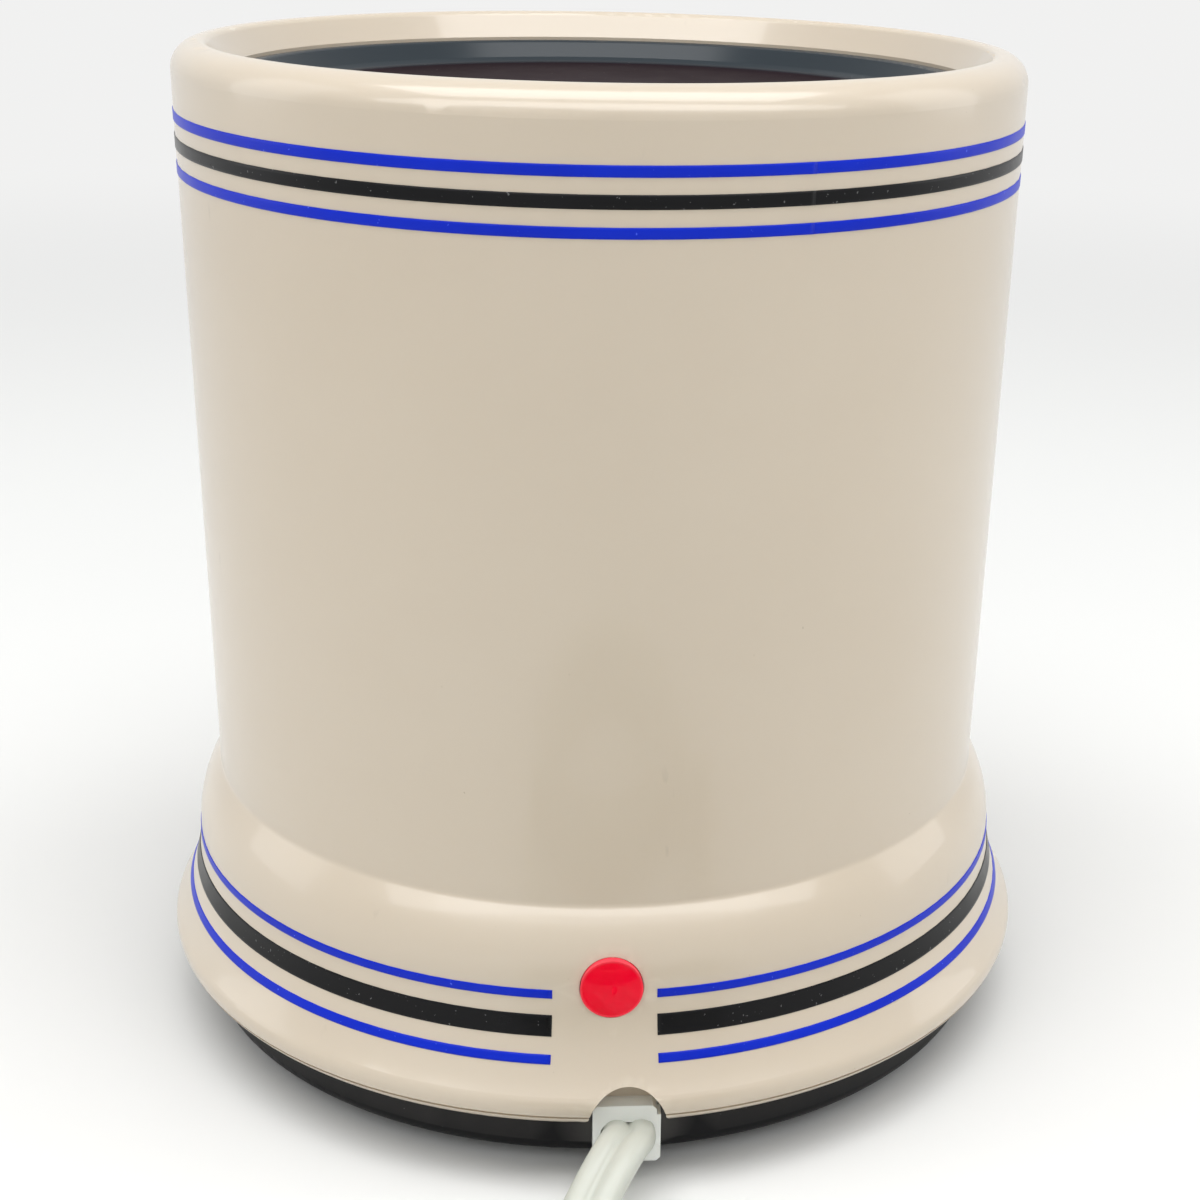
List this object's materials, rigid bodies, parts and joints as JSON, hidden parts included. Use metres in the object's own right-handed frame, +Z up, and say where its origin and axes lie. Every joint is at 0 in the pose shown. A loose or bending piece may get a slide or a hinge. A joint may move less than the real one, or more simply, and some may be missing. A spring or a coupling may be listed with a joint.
{
  "type": "candle warmer",
  "caption": "Tall round electric candle warmer with a sunk hot plate in its top, a flared striped foot with a pilot lamp, and a flat mains cord with plug.",
  "frame": {"origin": "centre of the warmer's base on the table, cord left out", "axes": "+Z up along the housing's axis, -Y towards the pilot lamp and the cord, +X to the right seen from the front"},
  "size_m": [0.1428, 0.3003, 0.1563],
  "materials": {
    "housing_cream": "glossy cream moulding with blue and black printed stripes",
    "plate_coat": "dark non-stick coat on aluminium",
    "gasket_black": "matt black silicone",
    "mica": "mica sheet",
    "resistance_alloy": "nickel chrome ribbon",
    "fibre_pad": "ceramic fibre felt",
    "zinc_steel": "zinc plated",
    "galvanised": "galvanised sheet",
    "brass_tab": "plain brass",
    "fuse_case": "bright can",
    "white_ceramic": "unglazed ceramic",
    "white_sleeve": "braided glass sleeve",
    "black_sleeve": "braided glass sleeve",
    "cap_plastic": "nylon",
    "lens_red": "clear red plastic",
    "spring_steel": "spring steel",
    "lamp_glass": "clear glass",
    "resistor_body": "tan lacquer",
    "thin_wire": "thin insulation",
    "pan_black": "satin black",
    "foot_rubber": "matt black",
    "relief_cream": "off-white moulding",
    "cord_white": "soft white vinyl",
    "tie_white": "thin white strap",
    "blade_nickel": "nickel plated"
  },
  "bodies": {
    "root": {"housing": "housing_cream", "warming_plate": "plate_coat", "plate_gasket": "gasket_black", "mica_upper": "mica", "resistance_ribbon": "resistance_alloy", "element_card": "mica", "mica_lower": "mica", "insulation_pad": "fibre_pad", "pressure_plate": "galvanised", "heat_shield": "galvanised", "plate_studs": "zinc_steel", "element_washers": "zinc_steel", "element_nuts": "zinc_steel", "shield_washers": "zinc_steel", "shield_nuts": "zinc_steel", "element_terminals": "brass_tab", "thermal_fuse": "fuse_case", "fuse_clip": "zinc_steel", "clip_rivets": "zinc_steel", "lead_grommet": "white_ceramic", "lead_live": "black_sleeve", "lead_neutral": "white_sleeve", "lead_link": "white_sleeve", "crimp_caps": "cap_plastic", "indicator_lens": "lens_red", "lens_spring_nut": "spring_steel", "neon_lamp": "lamp_glass", "neon_resistor": "resistor_body", "neon_leads": "thin_wire", "bottom_pan": "pan_black", "pan_screws": "zinc_steel", "rubber_feet": "foot_rubber", "strain_relief_upper": "relief_cream", "strain_relief_lower": "relief_cream", "cord_cores": "thin_wire", "cord_free": "cord_white", "cord_coil": "cord_white", "coil_tie": "tie_white", "plug_body": "cord_white", "plug_blades": "blade_nickel"}
  },
  "joints": []
}
